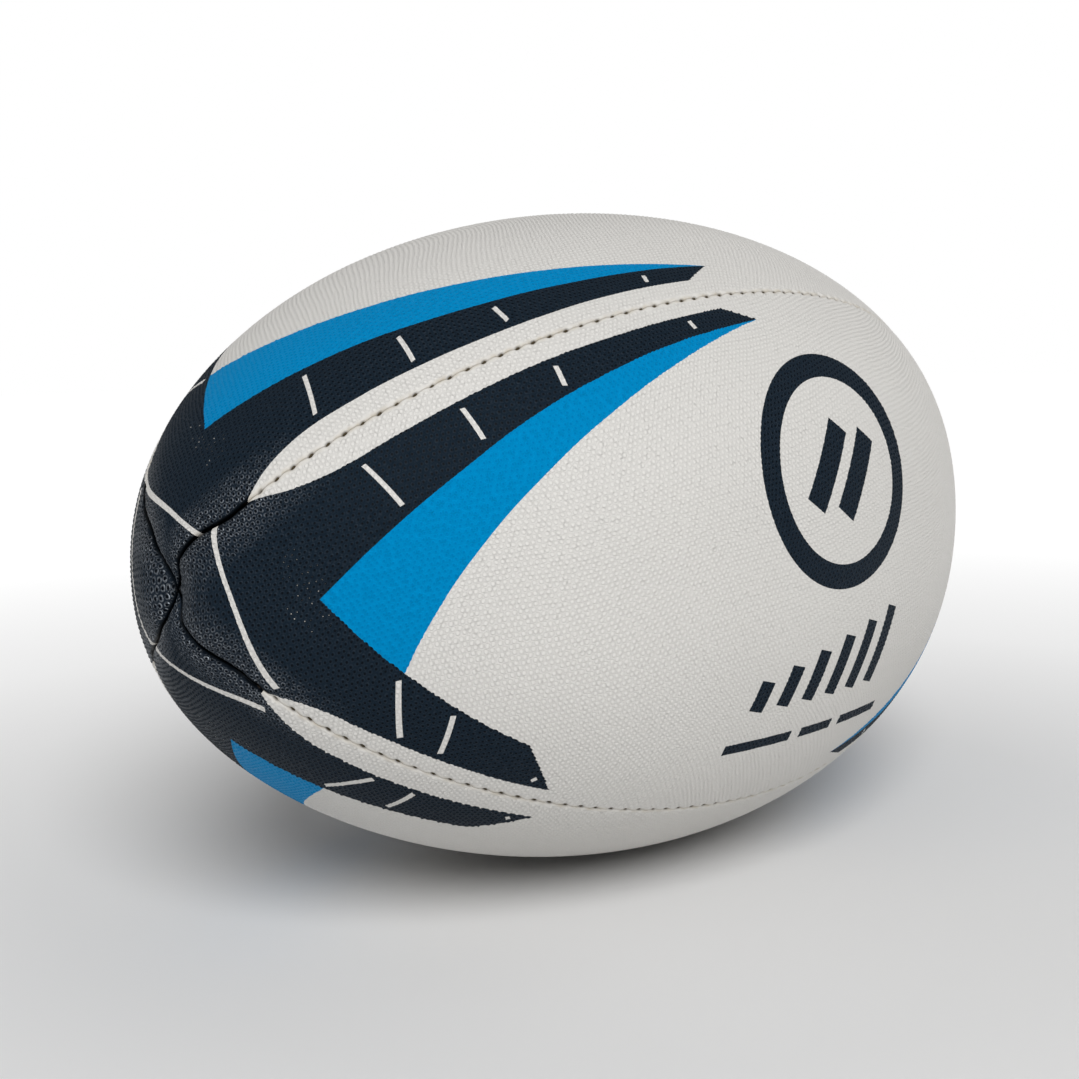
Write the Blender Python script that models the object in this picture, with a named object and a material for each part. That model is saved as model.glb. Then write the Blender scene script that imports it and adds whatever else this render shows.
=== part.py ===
"""A size 5 rugby ball, opened up into the pieces that it is sewn and moulded from.

Four pimpled rubber panels, each on two plies of cloth, are sewn edge to edge with their margins turned
in. A rubber bladder fills them, and its valve comes out through the middle of the top panel.

The long axis is X, the valve is at +Z, and the origin is the middle of the ball. Angles round the long
axis are measured from the middle of a panel, so its two seams lie at plus and minus PANEL_HALF_ANGLE.
Depths are measured from the outer surface, inwards along its normal.
"""

import math

import bmesh
import bpy
from mathutils import Vector

# The outer shape
HALF_LENGTH = 0.147
HALF_WIDTH = 0.0927
END_EXPONENT = 1.763  # 2 would be an ellipse, and less is more pointed
SEAM_RIDGE = 0.018  # share of the radius by which seams stand out and panel middles lie in
END_SINK = 0.0046  # how far the point where the four tips meet is drawn in
END_SINK_RADIUS = 0.007

# The laminate: depth of each layer's outer and inner face
PANEL_HALF_ANGLE = math.radians(45)
CLEARANCE = 0.0003
COVER_THICKNESS = 0.0014
PLY_THICKNESS = 0.0005
OUTER_PLY_DEPTH = COVER_THICKNESS + CLEARANCE
INNER_PLY_DEPTH = OUTER_PLY_DEPTH + PLY_THICKNESS + CLEARANCE
LINING_DEPTH = INNER_PLY_DEPTH + PLY_THICKNESS

# The turned-in margins
SEAM_GAP = 0.0002  # from the seam's plane to the margin on each side of it
FOLD_RADIUS = 0.0034
MARGIN_DEPTH = 0.005
TIP_FOLD_SHARE = 0.66  # near a tip the fold takes this share of the panel's half width
THREAD_RADIUS = 0.00035
THREAD_DEPTH = 0.0016
END_STITCH_RADIUS = 0.0024
END_STITCH_HALF_HEIGHT = 0.0011
END_STITCH_DEPTH = 0.0022

# The bladder
BLADDER_THICKNESS = 0.0008
BLADDER_DEPTH = LINING_DEPTH + 0.0011
BLADDER_SEAM_DEPTH = MARGIN_DEPTH + 0.0004
BLADDER_TIP_DEPTH = MARGIN_DEPTH + 0.0006
BLADDER_VALVE_DEPTH = 0.0054

# The valve, with heights below the top of the ball
VALVE_RECESS = 0.0005
PATCH_TOP = 0.0046
PATCH_THICKNESS = 0.0005
PATCH_RADIUS = 0.012
FLANGE_TOP = 0.0069
FLANGE_THICKNESS = 0.0011
FLANGE_RADIUS = 0.010
SLEEVE_RADIUS = 0.0030
SLEEVE_TUBE_RADIUS = 0.0044
SLEEVE_LENGTH = 0.0175
BORE_RADIUS = 0.0019
CORE_RADIUS = BORE_RADIUS - CLEARANCE
CORE_RECESS = 0.0002
CORE_LENGTH = 0.0168
CORE_TAPER = 0.0030
CORE_TIP_RADIUS = 0.0009
NEEDLE_RADIUS = 0.0005
NEEDLE_DEPTH = 0.0120

# The mesh
MIDDLE_ANGLE = math.radians(66)  # rows are evenly spaced up to this angle
LAYER_STATIONS = 6  # rows from the middle to MIDDLE_ANGLE, in the layers that nothing shows
NEAR_TIP_ANGLES = (math.radians(76), math.radians(83.4))
TIP_ANGLE = math.radians(87.2)
FACE_STEPS = 6  # across a panel, between its two folds
COVER_FINENESS = 2  # the cover splits each of those steps in two, so inner layers never reach out to it
TURNED_STEPS = 24
DERIVATIVE_STEP = 1e-4


def clear_scene():
    for thing in list(bpy.data.objects):
        bpy.data.objects.remove(thing, do_unlink=True)


def plain_material(name, colour, roughness):
    material = bpy.data.materials.new(name)
    material.use_nodes = True
    shader = material.node_tree.nodes["Principled BSDF"]
    shader.inputs["Base Color"].default_value = (*colour, 1)
    shader.inputs["Roughness"].default_value = roughness
    shader.inputs["Metallic"].default_value = 0
    return material


def stations(end_angle, fineness=1):
    """The angles along the ball at which a layer has a row of points, up to end_angle each way."""
    count = LAYER_STATIONS * fineness
    positive = [MIDDLE_ANGLE * step / count for step in range(1, count + 1)]
    positive += [angle for angle in (*NEAR_TIP_ANGLES, TIP_ANGLE) if angle <= end_angle]
    return [-angle for angle in reversed(positive)] + [0] + positive


def mean_radius(along):
    return HALF_WIDTH * math.cos(along) ** (2 / END_EXPONENT)


def smooth_point(along, around):
    """A point on the outer surface, before its ends are drawn in."""
    radius = mean_radius(along) * (1 - SEAM_RIDGE * math.cos(4 * around))
    return Vector((HALF_LENGTH * math.sin(along), radius * math.sin(around), radius * math.cos(around)))


def smooth_normal(along, around):
    step = DERIVATIVE_STEP
    lengthwise = smooth_point(along + step, around) - smooth_point(along - step, around)
    crosswise = smooth_point(along, around + step) - smooth_point(along, around - step)
    return lengthwise.cross(crosswise).normalized()


def drawn_in(point, along):
    """The point moved towards the middle as the ball's ends are, the same at every depth."""
    sink = END_SINK * math.exp(-((mean_radius(along) / END_SINK_RADIUS) ** 2))
    return point - Vector((math.copysign(sink, along), 0, 0))


def face_point(along, around, depth):
    return drawn_in(smooth_point(along, around) - depth * smooth_normal(along, around), along)


def margin_point(along, side, across, depth):
    """A point beside the seam on that side of a panel, across from the seam's plane."""
    seam = side * PANEL_HALF_ANGLE
    towards_panel = Vector((0, -side * math.cos(seam), side * math.sin(seam)))
    point = smooth_point(along, seam) + across * towards_panel - depth * smooth_normal(along, seam)
    return drawn_in(point, along)


def fold_radius(along):
    half_width = mean_radius(along) * math.sin(PANEL_HALF_ANGLE)
    return min(FOLD_RADIUS, TIP_FOLD_SHARE * half_width)


def fold_angle(along):
    """How far round from the middle of a panel its folds begin."""
    reach = SEAM_GAP + fold_radius(along)
    return PANEL_HALF_ANGLE - math.asin(reach / smooth_point(along, PANEL_HALF_ANGLE).yz.length)


def face_angles(along, fineness=1):
    """The angles of the columns between a panel's two folds."""
    end = fold_angle(along)
    steps = FACE_STEPS * fineness
    return [-end + 2 * end * column / steps for column in range(1, steps)]


def fold_points(along, side, depth, fold_steps):
    """The turned-in margin, from its free edge round the fold to the face of the panel."""
    radius = fold_radius(along)
    points = [margin_point(along, side, SEAM_GAP + depth, max(MARGIN_DEPTH, radius))]
    for step in range(fold_steps + 1):
        turn = math.radians(90) * step / fold_steps
        across = SEAM_GAP + radius - (radius - depth) * math.cos(turn)
        points.append(margin_point(along, side, across, radius - (radius - depth) * math.sin(turn)))
    return points


def layer_row(along, depth, fineness):
    """One row of points right across a panel, from one free edge to the other."""
    middle = [face_point(along, around, depth) for around in face_angles(along, fineness)]
    near = fold_points(along, -1, depth, fineness)
    far = fold_points(along, 1, depth, fineness)
    return near + middle + far[::-1]


def add_grid(mesh, rows, flipped):
    for row, following in zip(rows, rows[1:]):
        for column in range(len(row) - 1):
            corners = (row[column], row[column + 1], following[column + 1], following[column])
            mesh.faces.new(corners[::-1] if flipped else corners)


def finished_mesh(mesh, name):
    bmesh.ops.recalc_face_normals(mesh, faces=mesh.faces)
    data = bpy.data.meshes.new(name)
    mesh.to_mesh(data)
    mesh.free()
    data.shade_smooth()
    data.set_sharp_from_angle(angle=math.radians(50))
    return data


def layer_mesh(name, outer_depth, inner_depth, end_angle, fineness):
    """A closed shell between two depths: a skin outside, a skin inside and a strip round its edge."""
    mesh = bmesh.new()
    skins = []
    for depth in (outer_depth, inner_depth):
        rows = [layer_row(along, depth, fineness) for along in stations(end_angle, fineness)]
        skins.append([[mesh.verts.new(point) for point in row] for row in rows])
    outer, inner = skins
    add_grid(mesh, outer, False)
    add_grid(mesh, inner, True)
    for end in (0, -1):
        add_grid(mesh, [outer[end], inner[end]], end == 0)
        edges = [[row[end] for row in skin] for skin in skins]
        add_grid(mesh, edges, end == -1)
    return finished_mesh(mesh, name)


def bladder_depth(along, is_face, is_valve):
    if is_valve:
        return BLADDER_VALVE_DEPTH
    if abs(along) >= NEAR_TIP_ANGLES[-1]:
        return BLADDER_TIP_DEPTH
    return BLADDER_DEPTH if is_face else BLADDER_SEAM_DEPTH


def bladder_row(along, extra_depth):
    """A closed ring of points, which dips under each seam's margins and under the valve."""
    edge = fold_angle(along)
    columns = [(-PANEL_HALF_ANGLE, False), (-edge, False)]
    columns += [(around, True) for around in face_angles(along)] + [(edge, False)]
    points = []
    for panel in range(4):
        for around, is_face in columns:
            is_valve = panel == 0 and along == 0 and is_face and abs(around) < DERIVATIVE_STEP
            depth = bladder_depth(along, is_face, is_valve) + extra_depth
            points.append(face_point(along, around + panel * 2 * PANEL_HALF_ANGLE, depth))
    return points


def bladder_skin(mesh, extra_depth, flipped):
    rows = [[mesh.verts.new(point) for point in bladder_row(along, extra_depth)] for along in stations(TIP_ANGLE)]
    add_grid(mesh, [row + row[:1] for row in rows], flipped)
    for end, row in ((-1, rows[0]), (1, rows[-1])):
        reach = HALF_LENGTH - END_SINK - BLADDER_TIP_DEPTH - extra_depth
        tip = mesh.verts.new((end * reach, 0, 0))
        for corner, following in zip(row, row[1:] + row[:1]):
            mesh.faces.new((corner, following, tip))


def bladder_mesh():
    mesh = bmesh.new()
    bladder_skin(mesh, 0, False)
    outer_faces = list(mesh.faces)
    bladder_skin(mesh, BLADDER_THICKNESS, True)
    inner_faces = [face for face in mesh.faces if face not in set(outer_faces)]
    bmesh.ops.recalc_face_normals(mesh, faces=outer_faces)
    bmesh.ops.recalc_face_normals(mesh, faces=inner_faces)
    bmesh.ops.reverse_faces(mesh, faces=inner_faces)
    data = bpy.data.meshes.new("bladder")
    mesh.to_mesh(data)
    mesh.free()
    data.shade_smooth()
    return data


def thread_curve():
    """The thread of the seam at PANEL_HALF_ANGLE, lying between the two folds."""
    curve = bpy.data.curves.new("seam_thread", "CURVE")
    curve.dimensions = "3D"
    curve.bevel_depth = THREAD_RADIUS
    curve.bevel_resolution = 1
    curve.use_fill_caps = True
    path = [margin_point(along, 1, 0, THREAD_DEPTH) for along in stations(NEAR_TIP_ANGLES[-1])]
    spline = curve.splines.new("POLY")
    spline.points.add(len(path) - 1)
    for spot, point in zip(spline.points, path):
        spot.co = (*point, 1)
    return curve


def turned_mesh(name, profile):
    """A body turned about Z from its closed (radius, height) profile, run anticlockwise."""
    mesh = bmesh.new()
    rings = []
    for step in range(TURNED_STEPS):
        turn = 2 * math.pi * step / TURNED_STEPS
        ring = {}
        for radius, height in profile:
            ring[radius, height] = Vector((radius * math.cos(turn), radius * math.sin(turn), height))
        rings.append(ring)
    axis = {spot: mesh.verts.new((0, 0, spot[1])) for spot in profile if spot[0] == 0}
    corners = [{spot: axis.get(spot) or mesh.verts.new(ring[spot]) for spot in profile} for ring in rings]
    for ring, following in zip(corners, corners[1:] + corners[:1]):
        for low, high in zip(profile, profile[1:] + profile[:1]):
            loop = list(dict.fromkeys((ring[low], following[low], following[high], ring[high])))
            if len(loop) > 2:
                mesh.faces.new(loop)
    return finished_mesh(mesh, name)


def sleeve_mesh(top):
    upper = top - VALVE_RECESS
    flange_upper = top - FLANGE_TOP
    flange_lower = flange_upper - FLANGE_THICKNESS
    lower = upper - SLEEVE_LENGTH
    return turned_mesh(
        "valve_sleeve",
        [
            (BORE_RADIUS, lower),
            (SLEEVE_TUBE_RADIUS, lower),
            (SLEEVE_TUBE_RADIUS, flange_lower),
            (FLANGE_RADIUS, flange_lower),
            (FLANGE_RADIUS, flange_upper),
            (SLEEVE_RADIUS, flange_upper),
            (SLEEVE_RADIUS, upper),
            (BORE_RADIUS, upper),
        ],
    )


def core_mesh():
    """The self-sealing plug, hanging from its own top, with the well that the pump's needle enters."""
    return turned_mesh(
        "valve_core",
        [
            (0, -CORE_LENGTH),
            (CORE_TIP_RADIUS, -CORE_LENGTH),
            (CORE_RADIUS, CORE_TAPER - CORE_LENGTH),
            (CORE_RADIUS, 0),
            (NEEDLE_RADIUS, 0),
            (NEEDLE_RADIUS, -NEEDLE_DEPTH),
            (0, -NEEDLE_DEPTH),
        ],
    )


def patch_mesh(top):
    inner = SLEEVE_RADIUS + CLEARANCE
    upper = top - PATCH_TOP
    lower = upper - PATCH_THICKNESS
    return turned_mesh(
        "valve_patch",
        [(inner, lower), (PATCH_RADIUS, lower), (PATCH_RADIUS, upper), (inner, upper)],
    )


def end_stitch_mesh():
    """The gathering stitch that draws four tips together: a flattened bead about Z."""
    arc_steps = 6
    profile = []
    for step in range(arc_steps + 1):
        rise = math.pi * step / arc_steps - math.pi / 2
        radius = END_STITCH_RADIUS * math.cos(rise)
        profile.append((0 if step in (0, arc_steps) else radius, END_STITCH_HALF_HEIGHT * math.sin(rise)))
    return turned_mesh("end_stitch", profile)


def place(name, data, material, location=(0, 0, 0), rotation=(0, 0, 0)):
    piece = bpy.data.objects.new(name, data)
    piece.location = location
    piece.rotation_euler = rotation
    bpy.context.scene.collection.objects.link(piece)
    piece.data.materials.clear()
    piece.data.materials.append(material)
    return piece


def valve_cutter(top):
    """A guide that cuts the valve's hole through every layer. It is no part of the ball."""
    mesh = bmesh.new()
    length = 2 * FLANGE_TOP
    bmesh.ops.create_cone(
        mesh,
        cap_ends=True,
        segments=TURNED_STEPS,
        radius1=SLEEVE_RADIUS + CLEARANCE,
        radius2=SLEEVE_RADIUS + CLEARANCE,
        depth=length,
    )
    cutter = bpy.data.objects.new("valve_hole_cutter", finished_mesh(mesh, "valve_hole_cutter"))
    cutter.location.z = top - LINING_DEPTH
    cutter.hide_render = True
    cutter.display_type = "WIRE"
    bpy.context.scene.collection.objects.link(cutter)
    return cutter


def cut_valve_hole(piece, cutter):
    hole = piece.modifiers.new("valve_hole", "BOOLEAN")
    hole.operation = "DIFFERENCE"
    hole.solver = "EXACT"
    hole.object = cutter


def build_panels(cutter):
    """The three layers of each panel, placed a quarter turn apart from one mesh a layer."""
    near_tip = NEAR_TIP_ANGLES[-1]
    layers = {
        "cover": (0, COVER_THICKNESS, TIP_ANGLE, COVER_FINENESS, (0.80, 0.79, 0.76), 0.55),
        "outer_ply": (OUTER_PLY_DEPTH, OUTER_PLY_DEPTH + PLY_THICKNESS, near_tip, 1, (0.55, 0.52, 0.45), 0.9),
        "inner_ply": (INNER_PLY_DEPTH, LINING_DEPTH, near_tip, 1, (0.70, 0.66, 0.56), 0.9),
    }
    places = ("top", "front", "bottom", "back")
    for layer, (outer, inner, end_angle, fineness, colour, roughness) in layers.items():
        data = layer_mesh(layer, outer, inner, end_angle, fineness)
        for quarter, side in enumerate(places):
            name = f"{layer}_{side}"
            turn = (2 * PANEL_HALF_ANGLE * quarter, 0, 0)
            piece = place(name, data.copy(), plain_material(name, colour, roughness), rotation=turn)
            if side == "top":
                cut_valve_hole(piece, cutter)


def build_seams():
    data = thread_curve()
    places = ("top_back", "top_front", "bottom_front", "bottom_back")
    for quarter, side in enumerate(places):
        name = f"seam_thread_{side}"
        material = plain_material(name, (0.22, 0.19, 0.13), 0.7)
        place(name, data.copy(), material, rotation=(2 * PANEL_HALF_ANGLE * quarter, 0, 0))


def build_end_stitches():
    reach = HALF_LENGTH - END_SINK - END_STITCH_DEPTH
    for side, end in (("left", -1), ("right", 1)):
        name = f"end_stitch_{side}"
        material = plain_material(name, (0.22, 0.19, 0.13), 0.7)
        place(name, end_stitch_mesh(), material, (end * reach, 0, 0), (0, math.radians(90), 0))


def build_bladder(cutter):
    material = plain_material("bladder", (0.05, 0.05, 0.05), 0.6)
    cut_valve_hole(place("bladder", bladder_mesh(), material), cutter)


def build_valve(top):
    place("valve_patch", patch_mesh(top), plain_material("valve_patch", (0.60, 0.57, 0.50), 0.85))
    place("valve_sleeve", sleeve_mesh(top), plain_material("valve_sleeve", (0.03, 0.03, 0.03), 0.5))
    core_top = (0, 0, top - VALVE_RECESS - CORE_RECESS)
    place("valve_core", core_mesh(), plain_material("valve_core", (0.12, 0.11, 0.10), 0.45), core_top)


def main():
    clear_scene()
    top = smooth_point(0, 0).z
    cutter = valve_cutter(top)
    build_panels(cutter)
    build_seams()
    build_end_stitches()
    build_bladder(cutter)
    build_valve(top)


main()
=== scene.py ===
"""The looks of a size 5 rugby ball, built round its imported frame.

The long axis is X and the middle of the ball is the origin. A spot on a panel is given in millimetres as
(s, h): s runs along the ball from its middle, and h across the panel from its middle line, both measured on
the surface. Depths are measured inwards from the outer surface, and reaches are measured from a seam.
"""

import functools
import math

import bmesh
import bpy
import numpy as np
from mathutils import Matrix, Vector
from mathutils.geometry import delaunay_2d_cdt


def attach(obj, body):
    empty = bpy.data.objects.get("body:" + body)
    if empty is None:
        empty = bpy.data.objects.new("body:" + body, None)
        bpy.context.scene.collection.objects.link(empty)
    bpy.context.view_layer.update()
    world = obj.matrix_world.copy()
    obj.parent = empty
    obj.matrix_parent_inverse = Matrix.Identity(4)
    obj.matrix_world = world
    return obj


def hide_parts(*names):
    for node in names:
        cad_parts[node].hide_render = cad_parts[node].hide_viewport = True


# The outer shape, as in the frame, in millimetres
HALF_LENGTH = 147.0
HALF_WIDTH = 92.7
END_EXPONENT = 1.763
SEAM_RIDGE = 0.018
END_SINK = 4.6
END_SINK_RADIUS = 7.0
PANEL_HALF_ANGLE = math.radians(45)
TOP = HALF_WIDTH * (1 - SEAM_RIDGE)

# The pimples' lattice, and the parts of it that are kept
PIMPLE_PITCH = 1.44
PIMPLE_HEIGHT = 0.17
PIMPLE_VARIATION = 0.2
PIMPLE_JITTER = 0.1
LATTICE_ANGLE = math.radians(11)
LATTICE_REACH = 220.0
FLAT_HALF_LENGTH = 190.0
FLAT_HALF_WIDTH = 75.0
RING_REACH = 1 / math.sqrt(7)
RING_ANGLE = math.atan2(math.sqrt(3), 5)
PER_PIMPLE = 7
VERTEX_CLEAR = 0.2
PIMPLE_CLEAR = 0.15
END_CLEAR = 0.25
SEED = 5

# The waves that warp the lattice, as (size, length, start)
X_ALONG_Y = (1.3, 9, 0.6)
X_ALONG_X = (0.9, 14, 0)
Y_ALONG_Y = (0.7, 8, 2)
Y_ALONG_X = (1.1, 11, 0)
WARP_PASSES = 12

# Seams: the gap, the smooth band beside it, and the fold into it
SEAM_GAP = 0.02
SEAM_GAP_AT_TIP = 0.25
BAND = 0.8
BAND_AT_TIP = 0.6
BAND_ROWS = (1, 0.76, 0.54, 0.36, 0.22, 0.12, 0.05, 0)
FOLD = 0.42
FOLD_AT_TIP = 1.35
SHOULDER = 9.0
SHOULDER_DEPTH = 1.3
TIP_STARTS = 149.0
TIP_FULL = 172.0

# The most that each takes of a narrow tip's half width
BAND_SHARE = 0.45
FOLD_SHARE = 0.9
MARGIN_SHARE = 0.6

# How far front and back spread over the other panels at the tips, and the most that they turn
BOW = 3.0
BOW_TURN = 0.38
BOW_STARTS = 161.0
BOW_FULL = 175.0

# Stitches
STITCH_PITCH = 4.5
LONG_SIDE_SHIFT = 1.5
SHORT_SIDE_SHIFT = 3.25
STITCH_SLANT = math.radians(22)
STITCH_WANDER = 0.05
STITCH_PULL = 0.2
PIT_LENGTH = 1.0
PIT_WIDTH = 0.6
PIT_DEPTH = 0.65
PINCH_DEPTH = 0.18
PINCH_REACH = 1.0
STATIONS_PER_STITCH = 8
END_STATION = 334

# The margins turned in at the seams, and the lining side
COVER_THICKNESS = 1.4
MARGIN_DEPTHS = (1.4, 3.0, 5.0)
MARGIN_STEP = 0.3
MARGIN_FOLD = 0.5
RIM_DRAWN_BACK = 0.3 * BAND_AT_TIP
LINING_DRAWN_BACK = 0.5 * BAND_AT_TIP
LINING_STEP = 6.0
LINING_ROWS = 11
LINING_COLUMNS = 30
LINING_CLEAR = 3.0

# The valve's hole in the cover. What lies within that share of its radius is cut out.
VALVE_HOLE = 3.3
VALVE_LIP = 0.7
VALVE_CLEAR = 5.2
VALVE_REACH = 60.0
HOLE_SIDES = 48
HOLE_CLEAR = 1.0
LIP_ROWS = (1, 0.6, 0.3, 0.1, 0)
HOLE_SHARE = 0.996

# The UV map of the panel laid flat, as (middle, reach): the outer side above, the lining in a strip below
UV_LENGTH = 380.0
UV_HALF_WIDTH = 80.0
OUTER_UV = (0.56, 0.42)
LINING_UV = (0.06, 0.05)

# The valve
VALVE_RECESS = 0.5
FLANGE_TOP = 6.9
FLANGE_THICKNESS = 1.1
FLANGE_RADIUS = 10.0
SLEEVE_RADIUS = 3.0
SLEEVE_TUBE_RADIUS = 4.4
SLEEVE_LENGTH = 17.5
SLEEVE_ROUNDING = 0.3
BORE_RADIUS = 1.9
CORE_RADIUS = 1.6
CORE_RECESS = 0.2
CORE_LENGTH = 16.8
CORE_TAPER = 3.0
CORE_TIP_RADIUS = 0.9
CORE_ROUNDING = 0.12
NEEDLE_RADIUS = 0.5
NEEDLE_DIMPLE = 0.25
NEEDLE_DEPTH = 12.0

# Threads
STRAND_RADIUS = 0.24
STRAND_LENGTH = 1.9
STRAND_DEPTH = 0.62
STRAND_DIVE = 0.75
STRAND_TAPER = 0.25
STRAND_LAST = 156.0
RUNNING_DEPTH = 1.0
RUNNING_LAST = 180.0
END_STITCH_DEPTH = 2.2
COIL_RADIUS = 1.6
CROSS_REACH = 1.8

# Studio, in metres, with the camera's lens in millimetres
FLOOR_HALF_SIZE = 6.0
FLOOR_SQUARES = 24
FLOOR_CLEARANCE = 0.0003
SKY_STRENGTH = 0.27
LAMP_STRENGTH = 2.33
LAMP_ANGLE = math.radians(36)
LIGHT_RUNS = (0.45, 0.6, -0.66)
CAMERA_PLACE = (-0.33766552, -0.3028728, 0.05240606)
CAMERA_RIGHT = (0.6902, -0.7233, -0.0211)
CAMERA_UP = (0.1022, 0.0686, 0.9924)
SENSOR_WIDTH = 36
LENS = 51.38

MM = 0.001
HALVINGS = 26


def eased(share):
    """A share from 0 to 1 that starts and stops gently."""
    share = np.clip(share, 0, 1)
    return share * share * (3 - 2 * share)


def mean_radius(along):
    return HALF_WIDTH * np.cos(along) ** (2 / END_EXPONENT)


def meridian():
    """Angles along the ball, and the distance over the surface from its middle to each."""
    along = np.linspace(0, math.pi / 2, 20001)
    steps = np.hypot(np.diff(HALF_LENGTH * np.sin(along)), np.diff(mean_radius(along)))
    return along, np.concatenate([[0], np.cumsum(steps)])


MERIDIAN = meridian()


def along_at(s):
    angles, arcs = MERIDIAN
    return np.sign(s) * np.interp(np.abs(s), arcs, angles)


def slope(along):
    """How fast the ball narrows towards its end, per millimetre over the surface."""
    share = 2 / END_EXPONENT
    level = np.maximum(np.cos(along), 1e-9)
    ahead = HALF_LENGTH * level
    inwards = HALF_WIDTH * share * level ** (share - 1) * np.abs(np.sin(along))
    return np.maximum(inwards / np.hypot(ahead, inwards), 1e-5)


def laid_flat(s, around):
    """Where a spot lies on the panel laid flat: each cross line opens out as it would on a cone."""
    along = along_at(s)
    narrowing = slope(along)
    cone = mean_radius(along) / narrowing
    turn = around * narrowing
    return s + np.sign(s) * 2 * cone * np.sin(turn / 2) ** 2, cone * np.sin(turn)


def on_ball(x, y):
    """The (s, around) of a place on the panel laid flat, found by halving."""
    low, high = np.zeros(len(x)), np.abs(x)
    angles, arcs = MERIDIAN
    radii, narrowings = np.maximum(mean_radius(angles), 1e-6), slope(angles)
    for _ in range(HALVINGS):
        s = (low + high) / 2
        bend = np.interp(s, arcs, narrowings) / np.interp(s, arcs, radii)
        level = np.sqrt(np.maximum(1 - (y * bend) ** 2, 0))
        beyond = (level == 0) | (s + y**2 * bend / (1 + level) > np.abs(x))
        low, high = np.where(beyond, low, s), np.where(beyond, s, high)
    narrowing = np.interp(low, arcs, narrowings)
    around = np.arcsin(np.clip(y * narrowing / np.interp(low, arcs, radii), -1, 1)) / narrowing
    return np.sign(x) * low, around


def ridged_radius(along, around):
    return mean_radius(along) * (1 - SEAM_RIDGE * np.cos(4 * around))


def outer_point(along, around):
    radius = ridged_radius(along, around)
    return np.stack([HALF_LENGTH * np.sin(along), radius * np.sin(around), radius * np.cos(around)], -1)


def outer_normal(along, around):
    step = 1e-4
    lengthwise = outer_point(along + step, around) - outer_point(along - step, around)
    crosswise = outer_point(along, around + step) - outer_point(along, around - step)
    normal = np.cross(lengthwise, crosswise)
    return normal / np.linalg.norm(normal, axis=-1, keepdims=True)


def placed(along, around, depth):
    point = outer_point(along, around) - depth[..., None] * outer_normal(along, around)
    sink = END_SINK * np.exp(-((mean_radius(along) / END_SINK_RADIUS) ** 2))
    point[..., 0] -= np.sign(along) * sink
    return point


def seam_radius(along):
    return mean_radius(along) * (1 + SEAM_RIDGE)


def half_width(s):
    """Half a panel's width across its middle, straight from seam to seam."""
    return seam_radius(along_at(s)) * math.sin(PANEL_HALF_ANGLE)


def tip_share(s):
    return eased((np.abs(s) - TIP_STARTS) / (TIP_FULL - TIP_STARTS))


def seam_gap(s):
    """Half the gap between two panels, at the outer surface: the folded ends stand apart."""
    return SEAM_GAP + (SEAM_GAP_AT_TIP - SEAM_GAP) * tip_share(s)


def band_width(s):
    """How far the smooth band beside a seam reaches into a panel."""
    return np.minimum(BAND + (BAND_AT_TIP - BAND) * tip_share(s), BAND_SHARE * half_width(s))


def rolled(reach, wide, deep):
    """How deep a surface lies that drops over the width in a quarter of an ellipse."""
    return deep * (1 - np.sqrt(1 - np.clip(1 - reach / wide, 0, 1) ** 2))


def fold_depth(s, reach):
    """How deep the surface has rolled over into the seam at that reach from it."""
    most = FOLD_SHARE * half_width(s)
    fold = np.minimum(FOLD + (FOLD_AT_TIP - FOLD) * tip_share(s), most)
    shoulder = np.minimum(SHOULDER, most)
    return rolled(reach, fold, fold) + rolled(reach, shoulder, SHOULDER_DEPTH * tip_share(s))


def bowed(s, around, hand):
    """The angle around the ball once the ends of front and back (hand 1) have spread over top and bottom."""
    share = eased((np.abs(s) - BOW_STARTS) / (BOW_FULL - BOW_STARTS))
    turn = np.minimum(BOW * share / mean_radius(along_at(s)), BOW_TURN)
    return around + hand * turn * np.sin(2 * around)


def unevenness(number, wave):
    """How far a stitch is from the usual one, from -1 to 1, as no two are sewn quite alike."""
    return np.sin(wave * number) * np.cos(0.7 * wave * number + 1)


def wandered(number):
    """Where a stitch's middle lies in its pitch."""
    return 0.5 + STITCH_WANDER * unevenness(number, 2.4)


def from_stitch(s, around):
    """How far along the seam a spot is from its nearest stitch, and how hard that stitch pulls."""
    shift = np.where(around > 0, LONG_SIDE_SHIFT, SHORT_SIDE_SHIFT)
    place = (s - shift) / STITCH_PITCH
    number = np.floor(place)
    pull = (1 + STITCH_PULL * unevenness(number, 1.7)) * (1 - tip_share(s))
    return (place - number - wandered(number)) * STITCH_PITCH, pull


def pit(s, around, reach, slant_hand):
    """The share of a pit's depth that each stitch pulls in, slanted across the seam."""
    t, pull = from_stitch(s, around)
    c = slant_hand * reach
    lengthwise = t * math.cos(STITCH_SLANT) + c * math.sin(STITCH_SLANT)
    crosswise = c * math.cos(STITCH_SLANT) - t * math.sin(STITCH_SLANT)
    return pull * np.exp(-((lengthwise / PIT_LENGTH) ** 2) - (crosswise / PIT_WIDTH) ** 2)


def surface_depth(s, around, reach, slant_hand):
    """How deep the cover's surface lies: its fold into the seam, its pits, and its pinch at each stitch."""
    away, pull = from_stitch(s, around)
    pinch = pull * np.exp(-((away / PINCH_REACH) ** 2) - reach / PINCH_REACH)
    return fold_depth(s, reach) + PIT_DEPTH * pit(s, around, reach, slant_hand) + PINCH_DEPTH * pinch


def angle_at_reach(s, reach):
    return PANEL_HALF_ANGLE - np.arcsin(np.clip(reach / seam_radius(along_at(s)), 0, 1))


def reach_at_angle(s, around):
    return ridged_radius(along_at(s), around) * np.sin(PANEL_HALF_ANGLE - np.abs(around))


COSINE, SINE = math.cos(LATTICE_ANGLE), math.sin(LATTICE_ANGLE)
TURN = np.array([[COSINE, SINE], [-SINE, COSINE]])


def sway(wave, place):
    size, length, start = wave
    return size * np.sin(place / length + start)


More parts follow.
